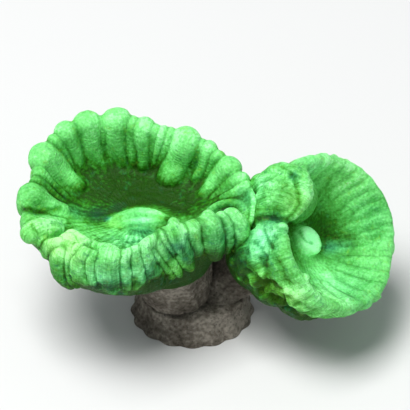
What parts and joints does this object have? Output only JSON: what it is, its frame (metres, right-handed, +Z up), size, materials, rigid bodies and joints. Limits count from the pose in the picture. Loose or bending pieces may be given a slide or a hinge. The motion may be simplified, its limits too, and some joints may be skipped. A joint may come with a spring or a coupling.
{
  "type": "trumpet coral",
  "caption": "Stony coral with two fleshy, lobed, cup-shaped heads on a short forked stalk, cut flat at the base.",
  "frame": {"origin": "middle of the flat cut at the foot of the stalk, on the surface it rests on", "axes": "+Z up from the cut, +X from the upright head to the leaning one, -Y towards the viewer of the picture"},
  "size_m": [0.0306, 0.0168, 0.0164],
  "materials": {
    "flesh": "soft moist flesh, bright green with darker green creases and blue-green patches, faintly glossy",
    "skeleton": "dull porous coral stone, grey-brown, with low ribs"
  },
  "bodies": {
    "root": {"stalk": "skeleton", "left_branch": "skeleton", "right_branch": "skeleton", "left_polyp": "flesh", "right_polyp": "flesh"}
  },
  "joints": []
}
